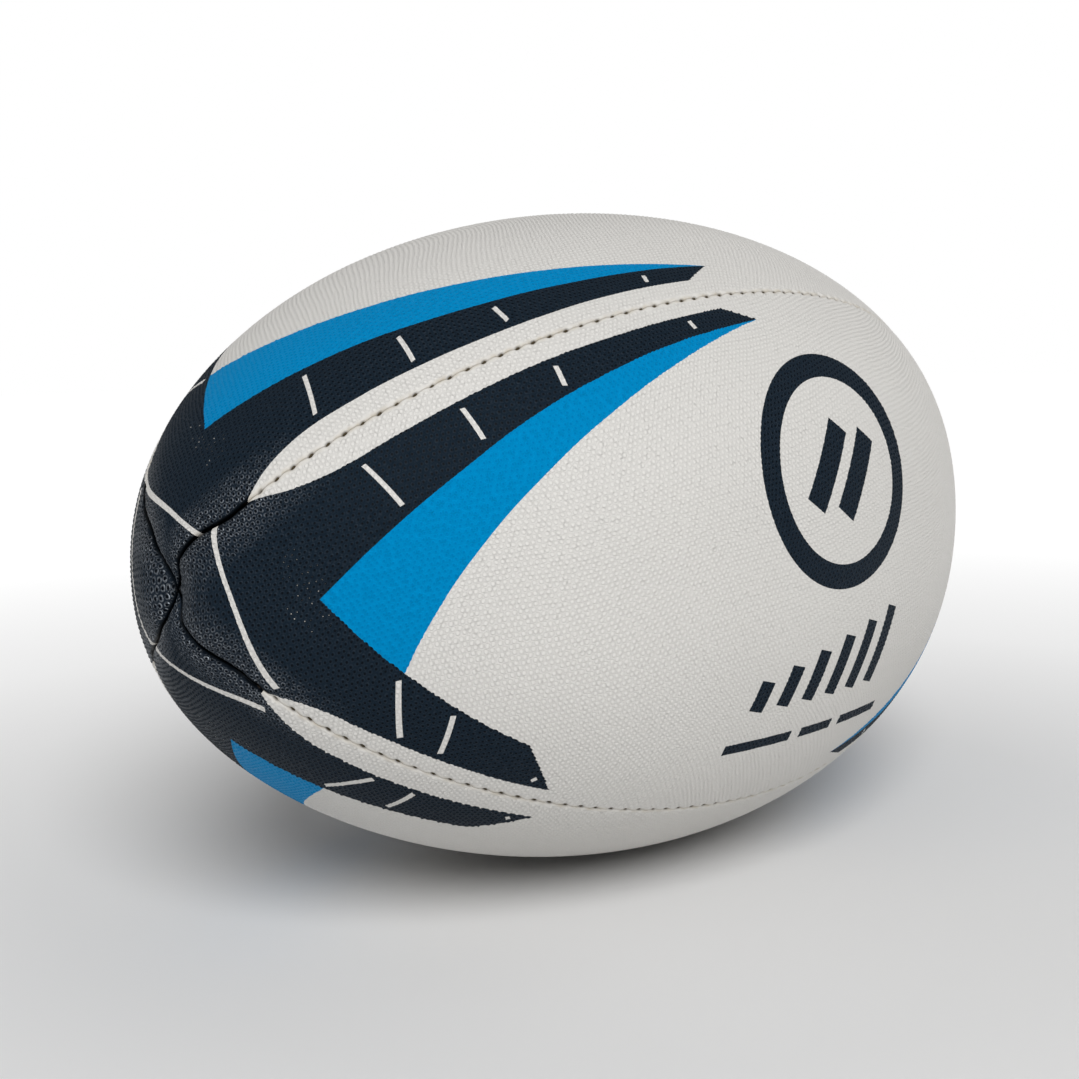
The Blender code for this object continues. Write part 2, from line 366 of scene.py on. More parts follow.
def spread(lattice):
    """Where places in the lattice lie on the panel laid flat: turned, and gently warped."""
    x, y = (lattice @ TURN * PIMPLE_PITCH).T
    x = x + sway(X_ALONG_Y, y) + sway(X_ALONG_X, x)
    y = y + sway(Y_ALONG_Y, y) + sway(Y_ALONG_X, x)
    return x, y


def gathered(x, y):
    """The place in the lattice of each spot on the panel laid flat: spread undone."""
    flat_x, flat_y = x, y
    for _ in range(WARP_PASSES):
        flat_y = y - sway(Y_ALONG_X, x) - sway(Y_ALONG_Y, flat_y)
    for _ in range(WARP_PASSES):
        flat_x = x - sway(X_ALONG_Y, flat_y) - sway(X_ALONG_X, flat_x)
    return np.stack([flat_x, flat_y], -1) / PIMPLE_PITCH @ TURN.T


def pimples(random):
    """The vertices of a lattice in which each pimple has a middle and six round it.

    Returns their places on the panel laid flat, their places in the lattice in units of the pitch, which
    vertices are middles, and each one's pimple's height as a share of the full height.
    """
    rows = int(LATTICE_REACH / PIMPLE_PITCH)
    row, column = np.mgrid[-rows:rows + 1, -rows:rows + 1]
    centres = np.stack([column + row / 2, row * math.sqrt(3) / 2], -1).reshape(-1, 2)
    x, y = spread(centres)
    centres = centres[(np.abs(x) < FLAT_HALF_LENGTH) & (np.abs(y) < FLAT_HALF_WIDTH)]
    turns = RING_ANGLE + np.arange(6) * math.pi / 3
    ring = np.stack([np.cos(turns), np.sin(turns)], -1) * RING_REACH
    lattice = centres[:, None] + np.concatenate([[[0, 0]], ring])[None]
    jitter = random.normal(0, PIMPLE_JITTER / PIMPLE_PITCH, centres.shape)
    height = 1 - PIMPLE_VARIATION * random.random(len(centres))
    x, y = spread((lattice + jitter[:, None]).reshape(-1, 2))
    is_middle = np.zeros(lattice.shape[:2], bool)
    is_middle[:, 0] = True
    return x, y, lattice.reshape(-1, 2), is_middle.reshape(-1), np.repeat(height, PER_PIMPLE)


def ring_of(reaches, end_shift):
    """A closed loop of (s, around) round a panel at those reaches from its seams, its ends drawn back."""
    stations = np.arange(-END_STATION, END_STATION + 1) * STITCH_PITCH / STATIONS_PER_STITCH
    end = stations[-1]
    s = stations * (end - end_shift) / end
    edge = angle_at_reach(s, reaches(s))
    across = np.array([1 / 3, -1 / 3])
    around = [edge, across * edge[-1], -edge[::-1], -across * edge[0]]
    return np.concatenate([s, [s[-1]] * 2, s[::-1], [s[0]] * 2]), np.concatenate(around)


def inside_faces(points, loops, hole_radius):
    """Triangles of the points within the outer loop and outside the valve's hole, as indices into points."""
    edges = []
    for loop in loops:
        edges += list(zip(loop, loop[1:] + loop[:1]))
    result = delaunay_2d_cdt([Vector(point) for point in points], edges, [], 1, 1e-7)
    origin = [source[0] if source else -1 for source in result[3]]
    faces = np.array([[origin[corner] for corner in face] for face in result[2]])
    faces = faces[(faces >= 0).all(1)]
    flat = points[faces]
    turn = np.cross(flat[:, 1] - flat[:, 0], flat[:, 2] - flat[:, 0])
    faces[turn < 0] = faces[turn < 0][:, ::-1]
    return faces[np.hypot(*flat.mean(1).T) > hole_radius]


def fill_side(skin, count, first, flat, hole_radius, hole_depth, inner=False):
    """Fills one side, from its first vertex on, within its first count vertices and outside the valve's hole.

    flat holds the vertices' places laid flat. Gives the first vertex round the hole.
    """
    loops = [list(range(count))]
    hole = skin.count
    if skin.has_valve:
        flat = [*flat, skin.add_hole_ring(hole_radius, hole_depth)]
        loops.append(list(range(hole - first, skin.count - first))[::-1])
    faces = inside_faces(np.concatenate(flat, 1).T, loops, HOLE_SHARE * hole_radius * skin.has_valve) + first
    skin.fill(faces if inner else faces[:, ::-1], inner)
    return hole


class Skin:
    """Gathers the vertices and faces of one panel, whose middle is at +Z."""

    def __init__(self, slant_hand, has_valve):
        self.slant_hand = slant_hand
        self.has_valve = has_valve
        self.vertices, self.faces, self.inner = [], [], []
        self.count = 0

    def add(self, s, around, depth, reach, lattice=None, strength=0, sheet=0):
        """Adds vertices, and gives the number of the first."""
        if lattice is None:
            lattice = gathered(*laid_flat(s, around))
        row = np.broadcast_arrays(s, around, depth, reach, *lattice.T, strength, sheet)
        self.vertices.append(np.stack(row))
        self.count += len(s)
        return self.count - len(s)

    def add_outer(self, s, around, rise=0, lattice=None, strength=0):
        """Adds vertices that rise so far above the outer surface."""
        reach = reach_at_angle(s, around)
        depth = surface_depth(s, around, reach, self.slant_hand) - rise
        return self.add(s, around, depth, reach, lattice, strength)

    def add_hole_ring(self, radius, depth):
        """Adds vertices round the valve's hole. Gives their places laid flat."""
        turn = np.arange(HOLE_SIDES) * 2 * math.pi / HOLE_SIDES
        s, h = radius * np.cos(turn), radius * np.sin(turn)
        self.add(s, h / HALF_WIDTH, depth, VALVE_REACH)
        return s, h

    def fill(self, triangles, inner=False):
        self.faces.append(triangles)
        self.inner.append(np.full(len(triangles), inner))

    def bridge(self, first, second, count, inner=False):
        """Fills between two closed loops of count vertices that start at these numbers."""
        here = np.arange(count)
        following = (here + 1) % count
        a, b, c, d = first + here, first + following, second + following, second + here
        self.fill(np.concatenate([np.stack([a, c, b], -1), np.stack([a, d, c], -1)]), inner)


def pimpled_field(random, end, has_valve):
    """The vertices within the bands: x, y, s, around, lattice, strength, and which are pimples' middles."""
    x, y, lattice, is_middle, height = pimples(random)
    s, around = on_ball(x, y)
    clear = reach_at_angle(s, np.clip(around, -PANEL_HALF_ANGLE, PANEL_HALF_ANGLE)) - band_width(s)
    from_valve = np.hypot(x, y) if has_valve else np.full(len(x), np.inf)
    grows = (clear[is_middle] > PIMPLE_CLEAR) & (from_valve[is_middle] > VALVE_CLEAR)
    strength = np.where(np.repeat(grows, PER_PIMPLE), height, 0)
    inside = (clear > VERTEX_CLEAR) & (np.abs(around) < PANEL_HALF_ANGLE) & (np.abs(s) < end - END_CLEAR)
    inside &= from_valve > VALVE_HOLE + VALVE_LIP + VERTEX_CLEAR
    return [part[inside] for part in (x, y, s, around, lattice, strength, is_middle)]


def add_field(skin, random):
    """The outer side within the bands. Gives the rim's count and the first vertex of the lip's edge."""
    rim_s, rim_around = ring_of(band_width, RIM_DRAWN_BACK)
    skin.add_outer(rim_s, rim_around)
    x, y, s, around, lattice, strength, is_middle = pimpled_field(random, rim_s.max(), skin.has_valve)
    skin.add_outer(s, around, PIMPLE_HEIGHT * strength * is_middle, lattice, strength)
    flat = [laid_flat(rim_s, rim_around), (x, y)]
    return len(rim_s), fill_side(skin, len(rim_s), 0, flat, VALVE_HOLE + VALVE_LIP, 0)


def add_edges(skin, count):
    """The smooth bands from the rim to the seams, and the margins turned in there. Gives their last ring."""
    previous = 0
    for share in BAND_ROWS[1:]:
        def reaches(s):
            return seam_gap(s) + (band_width(s) - seam_gap(s)) * share

        s, around = ring_of(reaches, RIM_DRAWN_BACK * share)
        first = skin.add_outer(s, around)
        skin.bridge(previous, first, count)
        previous = first
    reach = reach_at_angle(s, around)
    depth = surface_depth(s, around, reach, skin.slant_hand) + MARGIN_STEP
    tucked = fold_depth(s, reach) * MARGIN_FOLD
    for extra in MARGIN_DEPTHS:
        first = skin.add(s, around, np.maximum(depth, extra + tucked), reach, sheet=extra)
        skin.bridge(previous, first, count)
        previous = first
    return previous


def add_lining(skin, count, previous):
    """The back of the margins and the lining side. Gives the first vertex round the valve's hole."""
    def inner_reach(s):
        return np.minimum(seam_gap(s) + COVER_THICKNESS, MARGIN_SHARE * half_width(s))

    ring_s, ring_around = ring_of(inner_reach, LINING_DRAWN_BACK)
    reach = reach_at_angle(ring_s, ring_around)
    fold = fold_depth(ring_s, reach)
    deepest = MARGIN_DEPTHS[-1]
    bottom = skin.add(ring_s, ring_around, deepest + fold * MARGIN_FOLD, reach, sheet=deepest)
    skin.bridge(previous, bottom, count, inner=True)
    lining = skin.add(ring_s, ring_around, fold + COVER_THICKNESS, reach)
    skin.bridge(bottom, lining, count, inner=True)
    columns = np.arange(-LINING_COLUMNS, LINING_COLUMNS + 1) * LINING_STEP
    rows = np.arange(-LINING_ROWS, LINING_ROWS + 1) * LINING_STEP
    x, y = (part.ravel() for part in np.meshgrid(columns, rows))
    s, around = on_ball(x, y)
    reach = reach_at_angle(s, np.clip(around, -PANEL_HALF_ANGLE, PANEL_HALF_ANGLE))
    clear = (reach > LINING_CLEAR) & (np.abs(around) < PANEL_HALF_ANGLE)
    if skin.has_valve:
        clear &= np.hypot(x, y) > VALVE_HOLE + HOLE_CLEAR
    x, y, s, around, reach = (part[clear] for part in (x, y, s, around, reach))
    skin.add(s, around, fold_depth(s, reach) + COVER_THICKNESS, reach)
    flat = [laid_flat(ring_s, ring_around), (x, y)]
    return fill_side(skin, count, lining, flat, VALVE_HOLE, COVER_THICKNESS, inner=True)


def add_lip(skin, first_lip, first_hole):
    """The lip that rolls over into the valve's hole, and the hole's wall."""
    previous = first_lip
    for share in LIP_ROWS[1:]:
        first = skin.count
        skin.add_hole_ring(VALVE_HOLE + VALVE_LIP * share, VALVE_LIP * (1 - math.sqrt(1 - (1 - share) ** 2)))
        skin.bridge(previous, first, HOLE_SIDES)
        previous = first
    skin.bridge(previous, first_hole, HOLE_SIDES)


def panel_data(hand, has_valve, seed, slip):
    """One cover panel: pimpled field, smooth bands, turned-in margins and lining side.

    hand is 1 where +h lies towards +Y and -1 where it lies towards -Y.
    """
    skin = Skin(-hand, has_valve)
    count, first_lip = add_field(skin, np.random.default_rng(seed))
    margin = add_edges(skin, count)
    first_hole = add_lining(skin, count, margin)
    if has_valve:
        add_lip(skin, first_lip, first_hole)
    return skin_mesh(skin, hand, slip)


def slipped(s, h, slip):
    """How far a panel's print has slipped at a spot: the same at both ends, but for half a turn."""
    end = np.clip(-s / PRINT_GAP, -1, 1)
    return [end * steady + per_s * s + per_h * h for steady, per_s, per_h in slip]


def skin_mesh(skin, hand, slip):
    s, around, depth, reach, row, column, strength, sheet = np.concatenate(skin.vertices, 1)
    faces = np.concatenate(skin.faces)
    inner = np.concatenate(skin.inner)
    if hand > 0:
        faces = faces[:, ::-1]
    turned = bowed(s, around, hand)
    points = placed(along_at(s), hand * turned, depth) * MM
    h = turned * mean_radius(along_at(s))
    slip_s, slip_h = slipped(s, h, slip)
    data = bpy.data.meshes.new("panel")
    data.from_pydata(points.tolist(), [], faces.tolist())
    pits = pit(s, around, reach, -hand)
    kept = {"spot": [s - slip_s, h - slip_h, reach], "grip": [row, column, strength], "stitched": [pits] * 3}
    for key, values in kept.items():
        made = data.attributes.new(key, "FLOAT_VECTOR", "POINT")
        made.data.foreach_set("vector", np.stack(values, -1).astype(np.float32).ravel())
    x, y = laid_flat(s, around)
    y = y + np.sign(y) * sheet
    of_outer, of_lining = (
        np.stack([0.5 + x / UV_LENGTH, middle + size * y / UV_HALF_WIDTH], -1)
        for middle, size in (OUTER_UV, LINING_UV)
    )
    corners = faces.ravel()
    of_inner = np.repeat(inner, 3)[:, None]
    layer = data.uv_layers.new(name="OFBake")
    spots = np.where(of_inner, of_lining[corners], of_outer[corners])
    layer.data.foreach_set("uv", spots.astype(np.float32).ravel())
    data.shade_smooth()
    return data


class Shading:
    """A material's nodes, written as nested calls."""

    def __init__(self, name):
        self.material = bpy.data.materials.new(name)
        self.material.use_nodes = True
        self.tree = self.material.node_tree
        self.shader = self.tree.nodes["Principled BSDF"]

    def node(self, kind, inputs=(), **settings):
        made = self.tree.nodes.new(kind)
        for key, value in settings.items():
            setattr(made, key, value)
        for key, value in dict(inputs).items():
            self.feed(made.inputs[key], value)
        return made

    def feed(self, socket, value):
        if isinstance(value, bpy.types.NodeSocket):
            self.tree.links.new(value, socket)
        else:
            socket.default_value = value

    def math(self, operation, *values):
        return self.node("ShaderNodeMath", enumerate(values), operation=operation).outputs[0]

    def vector(self, operation, *values, out=0):
        return self.node("ShaderNodeVectorMath", enumerate(values), operation=operation).outputs[out]

    def times(self, value, other):
        return self.math("MULTIPLY", value, other)

    def apart(self, value, other):
        return self.math("ABSOLUTE", self.math("SUBTRACT", value, other))

    def both(self, *masks):
        """1 where every mask is 1."""
        return functools.reduce(lambda one, other: self.math("MINIMUM", one, other), masks)

    def either(self, *masks):
        """1 where any mask is 1."""
        return functools.reduce(lambda one, other: self.math("MAXIMUM", one, other), masks)

    def opposite(self, mask):
        return self.math("SUBTRACT", 1.0, mask)

    def place(self):
        return self.node("ShaderNodeTexCoord").outputs["Object"]

    def attribute(self, name):
        return self.node("ShaderNodeAttribute", attribute_name=name).outputs["Vector"]

    def parts(self, vector):
        return self.node("ShaderNodeSeparateXYZ", {0: vector}).outputs

    def noise(self, vector, scale, detail=2.0):
        inputs = {"Vector": vector, "Scale": scale, "Detail": detail}
        return self.node("ShaderNodeTexNoise", inputs).outputs[0]

    def ramp(self, value, low, high, first=0.0, last=1.0):
        inputs = {"Value": value, "From Min": low, "From Max": high, "To Min": first, "To Max": last}
        return self.node("ShaderNodeMapRange", inputs).outputs[0]

    def blend(self, factor, colour, other, kind="MIX"):
        made = self.node("ShaderNodeMix", data_type="RGBA", blend_type=kind)
        self.feed(made.inputs["Factor"], factor)
        self.feed(made.inputs["A"], colour)
        self.feed(made.inputs["B"], other)
        return made.outputs["Result"]

    def surface(self, base, roughness, height, distance, specular):
        """Gives the material these, with bumps of that height in metres."""
        self.feed(self.shader.inputs["Base Color"], base)
        self.feed(self.shader.inputs["Roughness"], roughness)
        bump = self.node("ShaderNodeBump", {"Height": height, "Distance": distance})
        self.feed(self.shader.inputs["Normal"], bump.outputs[0])
        self.feed(self.shader.inputs["Specular IOR Level"], specular)
        return self.material


def colour(red, green, blue):
    """A linear colour from its 8-bit display values."""
    levels = [level / 255 for level in (red, green, blue)]
    linear = [level / 12.92 if level <= 0.04045 else ((level + 0.055) / 1.055) ** 2.4 for level in levels]
    return (*linear, 1.0)


# The print, in (s, h) of the end at negative s. The other end has the same, turned half a turn.
FORK_S = -146.3
LONG_ARM_END = ((-16.8, 63.1), (-26.8, 66.8))
LONG_ARM_INSIDE = (
    (FORK_S, -0.5), (-130, 13.8), (-110, 28), (-90, 40.1), (-70, 49.2), (-50, 56.1), (-30, 60.8),
    LONG_ARM_END[0],
)
LONG_ARM_OUTSIDE = (
    (-158.8, 22.0), (-154.5, 23.3), (-148, 24.7), (-140, 27.5), (-120, 37.5), (-100, 46.9), (-80, 54.6),
    (-60, 60.3), (-40, 64.7), LONG_ARM_END[1],
)
SHORT_ARM_END = ((-93.8, -39.1), (-83.1, -54.6))
SHORT_ARM_INSIDE = ((FORK_S, -0.4), (-135, -11.2), (-126.4, -18.1), (-110, -29.7), SHORT_ARM_END[0])
SHORT_ARM_OUTSIDE = (
    (-155.8, -24.5), (-145, -27), (-130, -34.1), (-110, -43.9), (-90, -52.3),
    SHORT_ARM_END[1],
)
CRESCENT = (
    (-126.4, -17.9), (-121.7, -6.4), (-110, 9.8), (-90, 27.6), (-70, 40.8), (-50, 51.1), (-30, 59.1),
    LONG_ARM_END[0],
)
TICK_WIDTH = 1.25
TICKS = (
    ((-125.4, 20.1), (-130.8, 29.8)),
    ((-103.9, 34.6), (-105.6, 42.5)),
    ((-80.9, 46.8), (-80.7, 52.2)),
    ((-39.0, 60.8), (-39.6, 63.1)),
    ((-113.1, -40.6), (-113.6, -29.5)),
    ((-88.0, -50.0), (-89.0, -50.8)),
)
ARCS = (
    ((-123.2, -35.6), (-125.7, -28.3), (-127.5, -19.9)),
    ((-152.8, -22.8), (-162.3, -10.8), (-168.7, 4.0)),
    ((-168.2, 2.4), (-169.1, 9.6), (-167.0, 17.0)),
)
ARC_SAG = 20.0
PRINT_GAP = 15.0

# How far each print has slipped in s and h: (steady, per s, per h)
NO_SLIP = ((0, 0, 0), (0, 0, 0))
TOP_SLIP = ((0.7, 0.017, -0.044), (-3.2, -0.013, 0.021))
BOTTOM_SLIP = ((2.8, 0.016, -0.011), (-5.5, -0.0345, -0.066))

# Colours of the print, and of the painted highlights, glints and shade on it
WHITE = (colour(212, 210, 206), colour(217, 215, 211))
# painted highlight on the white pimples' crowns, and painted shade in the moats round them
WHITE_CROWN_HIGHLIGHT = colour(229, 227, 224)
WHITE_MOAT_SHADE = colour(188, 186, 183)
BLUE = colour(0, 133, 192)
BLUE_CROWN = colour(0, 115, 172)
BLUE_SHEEN = (0.05, 0.8, 1, 1)
NAVY = colour(16, 30, 42)
NAVY_CROWN = colour(0, 4, 11)
NAVY_GLINT = colour(74, 84, 95)
# navy near the ends' seams, where it turns metallic, with a painted glint ring round each pimple
GLOSSY_END_NAVY = colour(30, 39, 49)
GLOSSY_END_CROWN = colour(4, 9, 16)
GLOSSY_END_GLINT = colour(164, 170, 177)
# painted shade in the ends' creases
CREASE_SHADE = colour(0, 3, 7)
STAIN = (0.74, 0.69, 0.6, 1)
# painted shade in the stitches' pits
PIT_SHADE = colour(56, 47, 36)
NO_TINT = (1, 1, 1, 1)


class Print(Shading):
    """The printed rubber of a panel."""

    def __init__(self, name):
        super().__init__(name)
        self.spot = self.attribute("spot")
        self.flat = self.vector("MULTIPLY", self.spot, (1, 1, 0))
        self.reach = self.parts(self.spot)[2]
        self.grip = self.attribute("grip")
        self.strength = self.parts(self.grip)[2]
        self.raised = self.ramp(self.strength, 0.05, 0.4)
        self.from_middle = self.from_pimple()
        self.crown = self.times(self.ramp(self.from_middle, 0.26, 0.12), self.raised)
        self.moat = self.times(self.ramp(self.apart(self.from_middle, 0.4), 0.13, 0.0), self.raised)

    def from_pimple(self, shift=(0, 0, 0), squash=1.0):
        """How far each place is from the nearest pimple's middle, or from a mark beside it, in pitches."""
        plane = self.vector("MULTIPLY", self.vector("ADD", self.grip, shift), (1, 1 / math.sqrt(3), 0))
        distances = []
        for half in (0.5, 0.0):
            cell = self.vector("FRACTION", self.vector("ADD", plane, (half, half, 0)))
            centred = self.vector("SUBTRACT", cell, (0.5, 0.5, 0))
            scaled = self.vector("MULTIPLY", centred, (1, math.sqrt(3) * squash, 0))
            distances.append(self.vector("LENGTH", scaled, out=1))
        return self.math("MINIMUM", *distances)

    def curve(self, value, points):
        """A smooth curve through the (value, result) points, straight on beyond its ends."""
        xs, ys = zip(*points)
        low, high = min(ys), max(ys)
        ends = {"Value": value, "From Min": xs[0], "From Max": xs[-1]}
        share = self.node("ShaderNodeMapRange", ends, clamp=False).outputs[0]
        made = self.node("ShaderNodeFloatCurve", {"Value": share})
        mapping = made.mapping
        mapping.extend = "EXTRAPOLATED"
        mapping.use_clip = False
        line = mapping.curves[0]
        while len(line.points) < len(points):
            line.points.new(0.5, 0.5)
        for handle, (x, y) in zip(line.points, points):
            handle.location = (x - xs[0]) / (xs[-1] - xs[0]), (y - low) / (high - low)
        mapping.update()
        return self.math("MULTIPLY_ADD", made.outputs[0], high - low, low)

    def at_one_end(self, spot):
        """The spot turned half a turn if it is at the far end: its s, its h, and both."""
        raw_s, raw_h, _ = self.parts(spot)
        s = self.times(self.math("ABSOLUTE", raw_s), -1.0)
        h = self.times(self.times(self.math("SIGN", raw_s), raw_h), -1.0)
        return s, h, self.node("ShaderNodeCombineXYZ", {0: s, 1: h}).outputs[0]

    def bar(self, spot, start, end, width):
        """The mask of a straight bar with square ends."""
        a, b = np.array(start), np.array(end)
        length = np.linalg.norm(b - a)
        ahead = (b - a) / length
        offset = self.vector("SUBTRACT", spot, (*(a + b) / 2, 0))
        lengthwise = self.vector("DOT_PRODUCT", offset, (*ahead, 0), out=1)
        crosswise = self.vector("DOT_PRODUCT", offset, (-ahead[1], ahead[0], 0), out=1)
        return self.both(
            self.math("LESS_THAN", self.math("ABSOLUTE", lengthwise), length / 2),
            self.math("LESS_THAN", self.math("ABSOLUTE", crosswise), width / 2),
        )

    def arc(self, spot, start, middle, end, width):
        """The mask of a line of that width bent through three points, less than ARC_SAG off its chord."""
        a, b, c = (complex(*point) for point in (start, middle, end))
        w = (c - a) / (b - a)
        centre = (b - a) * (w - abs(w) ** 2) / (2j * w.imag) + a
        radius = abs(a - centre)
        near = self.bar(spot, start, end, 2 * ARC_SAG)
        distance = self.vector("DISTANCE", spot, (centre.real, centre.imag, 0), out=1)
        return self.both(near, self.math("LESS_THAN", self.apart(distance, radius), width / 2))

    def beyond(self, spot, start, end):
        """1 on the left of the line from start to end."""
        a, b = np.array(start), np.array(end)
        ahead = (b - a) / np.linalg.norm(b - a)
        offset = self.vector("SUBTRACT", spot, (*a, 0))
        side = self.vector("DOT_PRODUCT", offset, (-ahead[1], ahead[0], 0), out=1)
        return self.math("GREATER_THAN", side, 0.0)

    def printed(self, has_emblem):
        """The masks of the blue and of the navy, and how far towards an end each place is."""
        # the print's edges jog round the pimples
        jog = self.times(self.math("SUBTRACT", self.from_middle, 0.33), self.times(self.raised, 0.6))
        jogs = self.node("ShaderNodeCombineXYZ", {0: jog, 1: jog}).outputs[0]
        s, h, place = self.at_one_end(self.vector("ADD", self.flat, jogs))
        clean_place = self.at_one_end(self.flat)[2]

        def over(points):
            return self.math("GREATER_THAN", h, self.curve(s, points))

        def past(limit):
            return self.math("GREATER_THAN", s, limit)

        below = self.math("LESS_THAN", h, 0.0)
        inside = self.both(self.opposite(over(LONG_ARM_INSIDE)), over(SHORT_ARM_INSIDE), past(FORK_S))
        paper = self.either(
            inside,
            self.both(over(LONG_ARM_OUTSIDE), past(LONG_ARM_OUTSIDE[0][0])),
            self.both(self.opposite(over(SHORT_ARM_OUTSIDE)), past(SHORT_ARM_OUTSIDE[0][0])),
            past(LONG_ARM_END[0][0]),
            self.both(past(LONG_ARM_END[1][0]), self.opposite(self.beyond(place, *LONG_ARM_END))),
            self.both(self.beyond(place, *SHORT_ARM_END), past(SHORT_ARM_END[0][0]), below),
        )
        blue = self.both(inside, over(CRESCENT), self.opposite(past(CRESCENT[-1][0])))
        lines = self.either(
            *(self.bar(clean_place, *tick, TICK_WIDTH) for tick in TICKS),
            *(self.arc(clean_place, *arc, TICK_WIDTH) for arc in ARCS),
        )
        navy = self.both(self.opposite(paper), self.opposite(lines))
        if has_emblem:
            navy = self.either(navy, emblem(self, self.flat))
        return blue, self.both(navy, self.inked()), self.math("ABSOLUTE", s)

    def inked(self):
        """Lower at the specks where the ink missed the tops of pimples."""
        reached = self.ramp(self.noise(self.spot, 0.9), 0.5, 0.8, 0.0, 0.2)
        missed = self.both(
            self.math("LESS_THAN", self.from_middle, reached),
            self.math("GREATER_THAN", self.noise(self.spot, 0.05), 0.66),
            self.math("GREATER_THAN", self.strength, 0.3),
        )
        return self.opposite(self.times(missed, 0.7))

    def whites(self):
        shade = self.blend(self.noise(self.spot, 0.03, 3.0), *WHITE)
        # painted highlight on each pimple's crown, and painted shade in the moat round it
        shade = self.blend(self.times(self.crown, 0.26), shade, WHITE_CROWN_HIGHLIGHT)
        return self.blend(self.times(self.moat, 0.11), shade, WHITE_MOAT_SHADE)

    def navies(self, at_end, glint_zone):
        """Navy with a painted glint beside each pimple, metallic with brighter painted glints near the ends'
        seams, and painted shade in the ends' creases.
        """
        ring = self.ramp(self.apart(self.from_middle, 0.33), 0.13, 0.03)
        lit_side = self.ramp(self.from_pimple((0.3, 0.05, 0), 0.62), 0.6, 0.2, 0.4, 1.0)
        patchy = self.ramp(self.noise(self.spot, 1.2), 0.4, 0.66, 0.05, 1.0)
        glint = self.times(self.both(ring, self.raised, lit_side), patchy)
        shade = self.blend(self.times(glint, 0.2), self.blend(self.crown, NAVY, NAVY_CROWN), NAVY_GLINT)
        # near the ends' seams: brighter painted glint rings on a navy that turns metallic there
        glossy_end_colour = self.blend(glint, self.blend(self.crown, GLOSSY_END_NAVY, GLOSSY_END_CROWN), GLOSSY_END_GLINT)
        # painted shade in the ends' creases, darkest at the seam
        crease_shade = self.times(at_end, self.ramp(self.reach, 1.1, 0.4))
        return self.blend(crease_shade, self.blend(glint_zone, shade, glossy_end_colour), CREASE_SHADE)

    def stained_and_pit_shaded(self, shade):
        """The colour with a brown stain along the seams, and painted shade in the stitches' pits."""
        patchy = self.ramp(self.noise(self.spot, 0.4), 0.35, 0.65, 0.1, 0.9)
        stain = self.times(self.ramp(self.reach, 1.2, 0.1), patchy)
        # painted shade in the stitches' pits
        pits = self.ramp(self.parts(self.attribute("stitched"))[0], 0.35, 0.95, 0.0, 0.85)
        return self.blend(pits, self.blend(stain, shade, STAIN, "MULTIPLY"), PIT_SHADE)


def cover_material(name, has_emblem):
    made = Print(name)
    blue, navy, endwards = made.printed(has_emblem)
    at_end = made.ramp(endwards, 134, 156)
    patchy = made.ramp(made.noise(made.spot, 0.12), 0.3, 0.6, 0.5, 1.0)
    # painted glints near the ends' seams: the mask where the navy turns metallic and its glint rings are
    # painted brighter
    glint_zone = made.times(made.times(at_end, made.ramp(made.reach, 10, 1.5)), patchy)
    shade = made.blend(blue, made.whites(), made.blend(made.crown, BLUE, BLUE_CROWN))
    shade = made.stained_and_pit_shaded(made.blend(navy, shade, made.navies(at_end, glint_zone)))
    made.feed(made.shader.inputs["Metallic"], made.times(made.both(glint_zone, navy), 0.85))
    made.feed(made.shader.inputs["Specular Tint"], made.blend(blue, NO_TINT, BLUE_SHEEN))
    rough = made.math("MULTIPLY_ADD", made.noise(made.spot, 0.6, 3.0), 0.14, 0.34)
    rough = made.math("MULTIPLY_ADD", made.crown, 0.22, rough)
    height = made.math("MULTIPLY_ADD", made.noise(made.spot, 5.0, 2.0), 0.15, made.times(made.moat, -0.5))
    return made.surface(shade, rough, height, 0.00022, 0.075)


def emblem(made, spot):
    """A ring round two bars, over a row of leaning bars and a broken line: a mark of no one in particular."""
    from_centre = made.vector("DISTANCE", spot, (-3.0, 21.5, 0), out=1)
    ring = made.both(made.math("LESS_THAN", from_centre, 31.0), made.math("GREATER_THAN", from_centre, 24.5))
    pair = (((-16.0, 13.0), (-2.0, 33.0)), ((-4.0, 10.0), (10.0, 30.0)))
    marks = [made.bar(spot, *ends, 7.5) for ends in pair]
    row_h, line_h = -38.5, -49.0
    for step in range(6):
        foot = -32.0 + 9.6 * step
        top = 8.0 + 2.6 * step
        marks.append(made.bar(spot, (foot, row_h), (foot + 0.28 * top, row_h + top), 5.0))
    for start, end in ((-38, -14), (-10, 4), (8, 29)):
        marks.append(made.bar(spot, (start, line_h), (end, line_h), 3.0))
    return made.either(ring, *marks)


def added(name, data):
    made = bpy.data.objects.new(name, data)
    bpy.context.scene.collection.objects.link(made)
    return made


def show(name, data, material, replaced, body="ball", quarter=0):
    """Adds a piece that was made at +Z, turned that many quarters of a turn about the ball's long axis."""
    data.name = name
    data.materials.append(material)
    piece = added(name, data)
    piece.matrix_world = Matrix.Rotation(quarter * math.pi / 2, 4, "X")
    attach(piece, body)
    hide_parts(replaced)


def build_panels():
    with_emblem = cover_material("printed_rubber_with_emblem", True)
    without = cover_material("printed_rubber", False)
    places = (
        ("top", -1, without, TOP_SLIP),
        ("front", 1, with_emblem, NO_SLIP),
        ("bottom", -1, without, BOTTOM_SLIP),
        ("back", 1, with_emblem, NO_SLIP),
    )
    for quarter, (side, hand, material, slip) in enumerate(places):
        data = panel_data(hand, side == "top", SEED + quarter, slip)
        show(f"panel_{side}", data, material, f"cover_{side}", quarter=quarter)


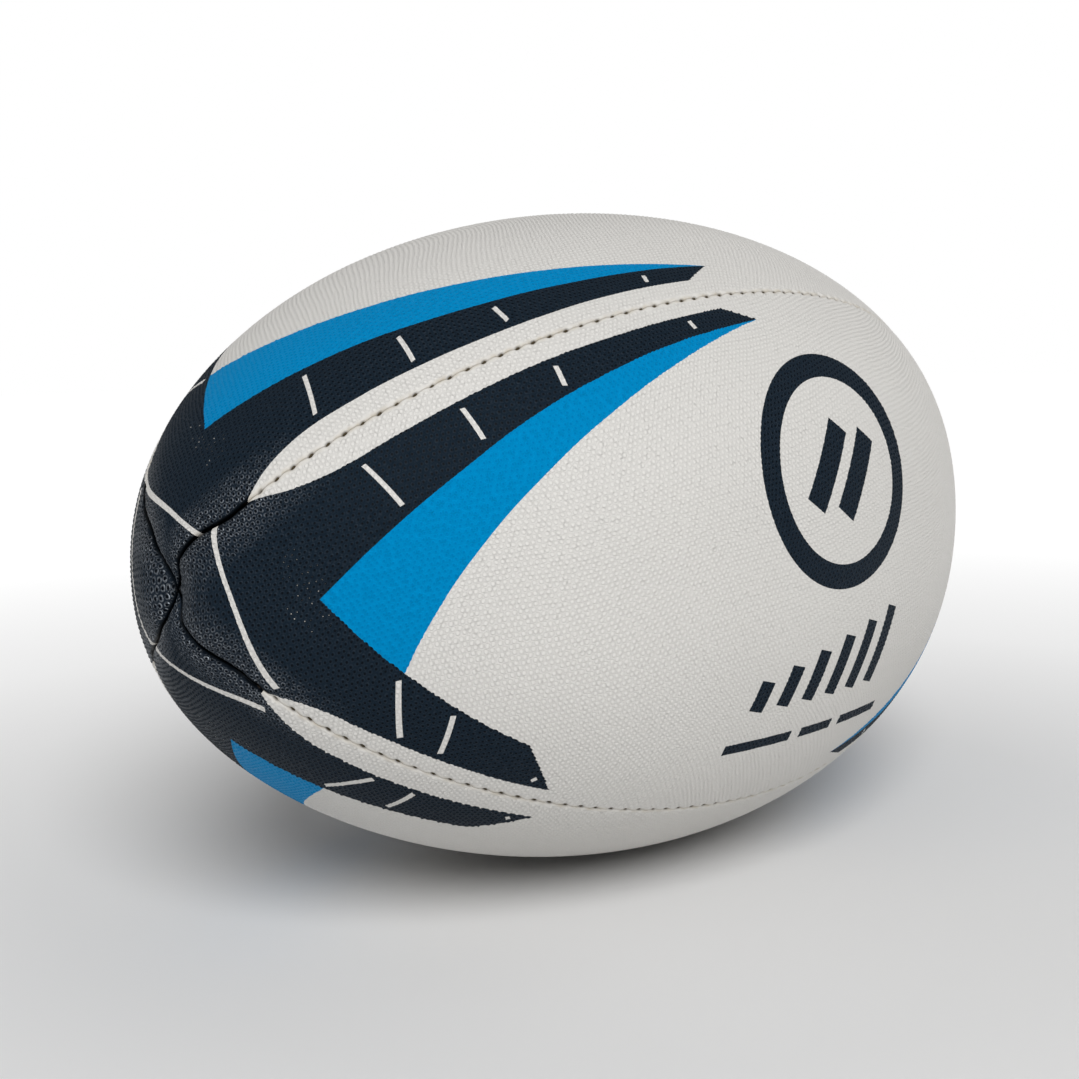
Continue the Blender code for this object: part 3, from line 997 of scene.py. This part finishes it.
def tube(points, radii, sides=8):
    """Vertices and faces of a round strand along the points, closed at both ends."""
    points = np.asarray(points, float)
    ahead = np.gradient(points, axis=0)
    ahead /= np.linalg.norm(ahead, axis=1, keepdims=True)
    aside = np.cross(ahead, (0.31, 0.52, 0.79))
    aside /= np.linalg.norm(aside, axis=1, keepdims=True)
    above = np.cross(ahead, aside)
    turn = np.arange(sides) * 2 * math.pi / sides
    rim = np.cos(turn)[None, :, None] * aside[:, None] + np.sin(turn)[None, :, None] * above[:, None]
    vertices = (points[:, None] + rim * np.asarray(radii, float)[:, None, None]).reshape(-1, 3)
    faces = []
    for row in range(len(points) - 1):
        for side in range(sides):
            after = (side + 1) % sides
            here = row * sides
            faces.append((here + side, here + after, here + sides + after, here + sides + side))
    faces.append(tuple(range(sides))[::-1])
    faces.append(tuple(range((len(points) - 1) * sides, len(points) * sides)))
    return vertices, faces


def joined(parts):
    vertices, faces, count = [], [], 0
    for part_vertices, part_faces in parts:
        vertices.append(part_vertices)
        faces += [tuple(corner + count for corner in face) for face in part_faces]
        count += len(part_vertices)
    data = bpy.data.meshes.new("joined")
    data.from_pydata((np.concatenate(vertices) * MM).tolist(), [], faces)
    mesh = bmesh.new()
    mesh.from_mesh(data)
    bmesh.ops.recalc_face_normals(mesh, faces=mesh.faces)
    mesh.to_mesh(data)
    mesh.free()
    data.shade_smooth()
    return data


def seam_points(s, depth, hand):
    s = np.asarray(s, float)
    return placed(along_at(s), bowed(s, PANEL_HALF_ANGLE, -hand), np.broadcast_to(depth, s.shape))


def seam_thread_data(hand):
    """The strands that show in the pits of one seam, and the running thread under them.

    hand is 1 where a strand leans towards the panel at +Z as it runs to +X, and -1 where it leans away.
    """
    across = np.array([0, -math.cos(PANEL_HALF_ANGLE), math.sin(PANEL_HALF_ANGLE)]) * hand
    shift = SHORT_SIDE_SHIFT if hand > 0 else LONG_SIDE_SHIFT
    parts = []
    share = np.linspace(-1, 1, 9)
    count = int(STRAND_LAST / STITCH_PITCH)
    for number in range(-count, count):
        middle = (number + wandered(number)) * STITCH_PITCH + shift
        along = share * STRAND_LENGTH / 2
        s = middle + along * math.cos(STITCH_SLANT)
        line = seam_points(s, STRAND_DEPTH + STRAND_DIVE * share**2, hand)
        line += (along * math.sin(STITCH_SLANT))[:, None] * across
        parts.append(tube(line, STRAND_RADIUS * (1 - STRAND_TAPER * share**2)))
    s = np.arange(-RUNNING_LAST, RUNNING_LAST + 1, STITCH_PITCH / 2)
    dip = fold_depth(s, np.full(s.shape, SEAM_GAP))
    parts.append(tube(seam_points(s, dip + RUNNING_DEPTH, hand), np.full(s.shape, STRAND_RADIUS), 6))
    return joined(parts)


def end_stitch_data(end):
    """The thread that gathers four tips: two turns of a coil and a cross of strands over it."""
    parts = []
    reach = HALF_LENGTH - END_SINK - END_STITCH_DEPTH
    turn = np.linspace(0, 4 * math.pi, 49)
    drawn = end * (reach - 0.1 * turn / math.pi)
    coil = np.stack([drawn, COIL_RADIUS * np.cos(turn), COIL_RADIUS * np.sin(turn)], -1)
    parts.append(tube(coil, np.full(len(turn), STRAND_RADIUS)))
    share = np.linspace(-1, 1, 9)
    for quarter in range(2):
        lean = PANEL_HALF_ANGLE + quarter * math.pi / 2
        arched = end * (reach + 0.5 - 0.9 * share**2)
        across = CROSS_REACH * share
        line = np.stack([arched, across * math.cos(lean), across * math.sin(lean)], -1)
        parts.append(tube(line, np.full(len(share), STRAND_RADIUS)))
    return joined(parts)


def turned_data(profile, steps=64):
    """A body turned about Z from its closed (radius, height) profile in millimetres."""
    turn = np.arange(steps) * 2 * math.pi / steps
    vertices, rings = [], []
    for radius, height in profile:
        rings.append([len(vertices) + (step % steps if radius else 0) for step in range(steps + 1)])
        angles = turn if radius else [0]
        vertices += [(radius * math.cos(angle), radius * math.sin(angle), height) for angle in angles]
    faces = []
    for low, high in zip(rings, rings[1:] + rings[:1]):
        for step in range(steps):
            corners = tuple(dict.fromkeys((low[step], low[step + 1], high[step + 1], high[step])))
            if len(corners) > 2:
                faces.append(corners)
    return joined([(np.array(vertices, float), faces)])


def rounded(corners, radius, steps=5):
    """The closed (radius, height) profile through the corners, each rounded unless it lies on the axis."""
    profile = []
    count = len(corners)
    for index, corner in enumerate(corners):
        before, here, after = (np.array(corners[(index + step) % count], float) for step in (-1, 0, 1))
        if corner[0] == 0:
            profile.append(corner)
            continue
        start, finish = (here + (end - here) / np.linalg.norm(end - here) * radius for end in (before, after))
        for share in np.linspace(0, 1, steps):
            spot = (1 - share) ** 2 * start + 2 * share * (1 - share) * here + share**2 * finish
            profile.append(tuple(spot))
    return profile


def build_threads():
    thread = thread_material("waxed_thread")
    places = ("top_back", "top_front", "bottom_front", "bottom_back")
    for quarter, side in enumerate(places):
        data = seam_thread_data(1 if quarter % 2 == 0 else -1)
        show(f"stitches_{side}", data, thread, f"seam_thread_{side}", quarter=quarter)
    for side, end in (("left", -1), ("right", 1)):
        show(f"gathering_stitch_{side}", end_stitch_data(end), thread, f"end_stitch_{side}")


def build_valve():
    top = TOP - VALVE_RECESS
    bottom = top - SLEEVE_LENGTH
    flange = TOP - FLANGE_TOP
    below_flange = flange - FLANGE_THICKNESS
    sleeve = [
        (BORE_RADIUS, bottom), (SLEEVE_TUBE_RADIUS, bottom), (SLEEVE_TUBE_RADIUS, below_flange),
        (FLANGE_RADIUS, below_flange), (FLANGE_RADIUS, flange), (SLEEVE_RADIUS, flange),
        (SLEEVE_RADIUS, top), (BORE_RADIUS, top),
    ]
    data = turned_data(rounded(sleeve, SLEEVE_ROUNDING))
    rubber = rubber_material("valve_rubber", (0.022, 0.022, 0.023, 1), 0.5)
    show("valve_collar", data, rubber, "valve_sleeve")
    top -= CORE_RECESS
    bottom = top - CORE_LENGTH
    plug = [
        (0, bottom), (CORE_TIP_RADIUS, bottom), (CORE_RADIUS, bottom + CORE_TAPER), (CORE_RADIUS, top),
        (NEEDLE_RADIUS, top - NEEDLE_DIMPLE), (NEEDLE_RADIUS, top - NEEDLE_DEPTH), (0, top - NEEDLE_DEPTH),
    ]
    data = turned_data(rounded(plug, CORE_ROUNDING))
    rubber = rubber_material("plug_rubber", (0.06, 0.055, 0.05, 1), 0.42)
    show("valve_plug", data, rubber, "valve_core", body="core")


def rubber_material(name, base, roughness):
    made = Shading(name)
    place = made.place()
    grain = made.noise(place, 900.0, 3.0)
    cloud = made.noise(place, 120.0, 2.0)
    dusty = tuple(1.5 * level + 0.01 for level in base[:3]) + (1.0,)
    shade = made.blend(made.ramp(cloud, 0.45, 0.75), base, dusty)
    rough = made.ramp(grain, 0.3, 0.7, roughness - 0.06, roughness + 0.08)
    return made.surface(shade, rough, grain, 0.00004, 0.35)


def thread_material(name):
    """Waxed thread, its plies wound round each strand."""
    made = Shading(name)
    place = made.place()
    waves = {"Vector": place, "Scale": 1600.0, "Distortion": 1.5}
    plies = made.node("ShaderNodeTexWave", waves, bands_direction="DIAGONAL").outputs[0]
    shade = made.blend(plies, colour(52, 44, 30), colour(92, 80, 56))
    return made.surface(shade, made.ramp(plies, 0, 1, 0.75, 0.55), plies, 0.00006, 0.3)


def cloth_material(name, warp_colour, weft_colour, pitch):
    """Plain weave: warp and weft pass over each other by turns."""
    made = Shading(name)
    place = made.place()
    turned = made.vector("MULTIPLY", place, (2 * math.pi / pitch,) * 3)
    x, y, z = made.parts(turned)
    over = made.ramp(made.times(made.math("SINE", x), made.math("SINE", made.math("ADD", y, z))), -1, 1)
    fluff = made.noise(place, 2500.0, 3.0)
    shade = made.blend(over, warp_colour, weft_colour)
    shade = made.blend(made.ramp(fluff, 0.4, 0.8, 0.0, 0.35), shade, (1, 1, 1, 1))
    height = made.math("ADD", over, made.times(fluff, 0.3))
    return made.surface(shade, made.ramp(fluff, 0.2, 0.8, 0.8, 0.95), height, 0.0002, 0.2)


def dress_hidden_layers(nodes):
    """The layers that the cover hides keep their frame's shapes and get their own cloth and rubber."""
    materials = {
        "outer_ply": cloth_material("outer_ply_cloth", colour(196, 186, 160), colour(176, 164, 136), 0.0009),
        "inner_ply": cloth_material("inner_ply_cloth", colour(214, 206, 184), colour(190, 180, 154), 0.0011),
        "valve_patch": cloth_material("patch_cloth", colour(202, 194, 172), colour(168, 158, 134), 0.0008),
        "bladder": rubber_material("bladder_rubber", (0.03, 0.03, 0.032, 1), 0.5),
    }
    for name, node in nodes.items():
        for start, material in materials.items():
            if name.startswith(start):
                node.data.materials.clear()
                node.data.materials.append(material)


def build_floor():
    """A floor painted darker under the ball as a painted shadow, which glows more further out so that it
    fades to white.
    """
    data = bpy.data.meshes.new("floor")
    mesh = bmesh.new()
    bmesh.ops.create_grid(mesh, x_segments=FLOOR_SQUARES, y_segments=FLOOR_SQUARES, size=FLOOR_HALF_SIZE)
    mesh.to_mesh(data)
    mesh.free()
    floor = added("floor", data)
    floor.location.z = -TOP * MM - FLOOR_CLEARANCE
    made = Shading("pale_floor")
    made.shader.inputs["Roughness"].default_value = 0.9
    made.shader.inputs["Specular IOR Level"].default_value = 0.1
    away = made.vector("LENGTH", made.vector("MULTIPLY", made.place(), (1, 1, 0)), out=1)
    pale_with_painted_shadow = made.blend(made.ramp(away, 0.05, 0.35), (0.77, 0.77, 0.77, 1), (0.97, 0.97, 0.97, 1))
    made.feed(made.shader.inputs["Base Color"], pale_with_painted_shadow)
    # painted light: the floor glows, more strongly further out, so that it fades to white
    made.shader.inputs["Emission Color"].default_value = (1, 1, 1, 1)
    made.feed(made.shader.inputs["Emission Strength"], made.ramp(away, 0.16, 0.7, 0.0, 0.3))
    data.materials.append(made.material)


def build_sky():
    """A dim white sky that looks plain white behind the ball."""
    world = bpy.data.worlds.new("studio")
    bpy.context.scene.world = world
    world.use_nodes = True
    bpy.context.scene.view_settings.view_transform = "Standard"
    tree = world.node_tree
    sky = tree.nodes["Background"]
    sky.inputs["Color"].default_value = (1, 1, 1, 1)
    sky.inputs["Strength"].default_value = SKY_STRENGTH
    seen_sky = tree.nodes.new("ShaderNodeBackground")
    seen_sky.inputs["Color"].default_value = (1, 1, 1, 1)
    choice = tree.nodes.new("ShaderNodeMixShader")
    rays = tree.nodes.new("ShaderNodeLightPath")
    sources = (rays.outputs["Is Camera Ray"], sky.outputs[0], seen_sky.outputs[0])
    for source, socket in zip(sources, choice.inputs):
        tree.links.new(source, socket)
    tree.links.new(choice.outputs[0], tree.nodes["World Output"].inputs["Surface"])


def build_lamp():
    lamp = bpy.data.lights.new("key", "SUN")
    lamp.angle = LAMP_ANGLE
    lamp.energy = LAMP_STRENGTH
    added("key", lamp).rotation_euler = Vector(LIGHT_RUNS).to_track_quat("-Z", "Y").to_euler()


def build_camera():
    data = bpy.data.cameras.new("camera")
    data.sensor_width = SENSOR_WIDTH
    data.lens = LENS
    data.clip_start = 0.01
    right, up = Vector(CAMERA_RIGHT), Vector(CAMERA_UP)
    placing = Matrix((right, up, right.cross(up))).transposed().to_4x4()
    placing.translation = CAMERA_PLACE
    bpy.context.scene.camera = added("camera", data)
    bpy.context.scene.camera.matrix_world = placing


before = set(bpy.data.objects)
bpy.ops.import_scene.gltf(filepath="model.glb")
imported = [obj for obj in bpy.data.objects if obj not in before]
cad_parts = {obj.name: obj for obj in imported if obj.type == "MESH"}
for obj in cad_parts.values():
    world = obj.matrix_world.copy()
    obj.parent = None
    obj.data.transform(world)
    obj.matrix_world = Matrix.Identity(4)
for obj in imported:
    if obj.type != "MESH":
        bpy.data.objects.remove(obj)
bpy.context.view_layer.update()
build_camera()
build_floor()
build_sky()
build_lamp()
build_panels()
build_threads()
build_valve()
dress_hidden_layers(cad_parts)
